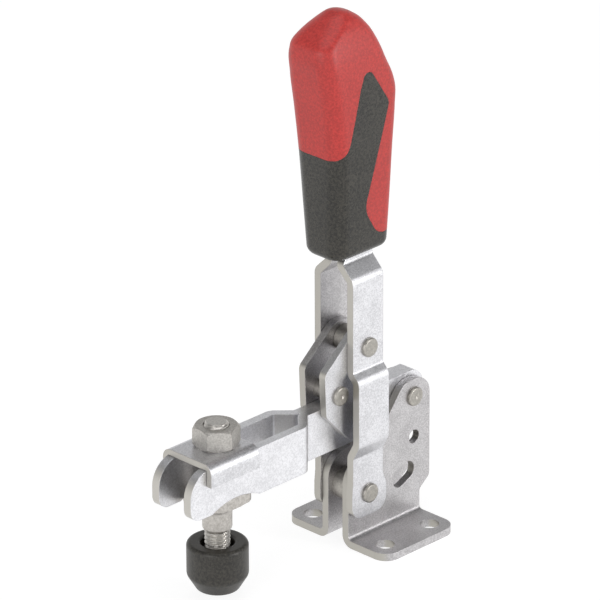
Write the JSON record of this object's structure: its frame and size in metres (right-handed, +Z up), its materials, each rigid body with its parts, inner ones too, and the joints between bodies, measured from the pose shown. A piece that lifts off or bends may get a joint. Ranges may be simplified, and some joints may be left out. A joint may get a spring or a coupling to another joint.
{
  "type": "toggle clamp",
  "caption": "Vertical toggle clamp: flanged base, upright lever with grip, link plates, open arm and a height-adjustable rubber-tipped spindle.",
  "frame": {"origin": "centre of the four base holes, on the underside of the flanges", "axes": "+X along the arm towards the pressure pad, +Y to the clamp's left, +Z up along the lever"},
  "size_m": [0.1062, 0.0436, 0.177],
  "materials": {
    "zinc_sheet": "zinc plated sheet, satin",
    "rivet_steel": "plain steel rivet, satin",
    "fastener_steel": "zinc plated fastener",
    "bush_steel": "turned steel, satin",
    "red_plastic": "fine grained hard plastic",
    "soft_black": "soft grip cover, matt",
    "pad_rubber": "moulded rubber, matt"
  },
  "bodies": {
    "base": {"base_plate_left": "zinc_sheet", "base_plate_right": "zinc_sheet", "lever_pivot_rivet": "rivet_steel", "arm_pivot_rivet": "rivet_steel", "base_spacer": "rivet_steel"},
    "lever": {"lever_plate_left": "zinc_sheet", "lever_plate_right": "zinc_sheet", "link_pivot_rivet": "rivet_steel", "link_spacer": "rivet_steel", "grip_body": "red_plastic", "grip_cover": "soft_black"},
    "arm": {"arm_plate_left": "zinc_sheet", "arm_plate_right": "zinc_sheet", "upper_saddle": "zinc_sheet", "upper_nut": "fastener_steel", "lower_bush": "bush_steel"},
    "link": {"link_plate_left": "zinc_sheet", "link_plate_right": "zinc_sheet", "drive_rivet": "rivet_steel", "stop_rivet": "rivet_steel"},
    "spindle": {"spindle": "fastener_steel", "rubber_pad": "pad_rubber"}
  },
  "joints": [
    {"name": "lever_pivot", "type": "hinge", "parent": "base", "child": "lever", "pos_m": [0.0093, 0, 0.0175], "axis": [0, -1, 0], "range_deg": [0, 60]},
    {"name": "arm_pivot", "type": "hinge", "parent": "base", "child": "arm", "pos_m": [-0.0132, 0, 0.0418], "axis": [0, -1, 0], "range_deg": [0, 108]},
    {"name": "drive_pivot", "type": "hinge", "parent": "arm", "child": "link", "pos_m": [0.0093, 0, 0.043], "axis": [0, -1, 0], "range_deg": [0, 42]},
    {"name": "spindle_height", "type": "slide", "parent": "arm", "child": "spindle", "axis": [0, 0, 1], "range_m": [-0.003, 0.003]}
  ],
  "couplings": [
    {"joint": "arm_pivot", "follows": "lever_pivot", "ratio": 1.8},
    {"joint": "drive_pivot", "follows": "lever_pivot", "ratio": 0.7}
  ]
}
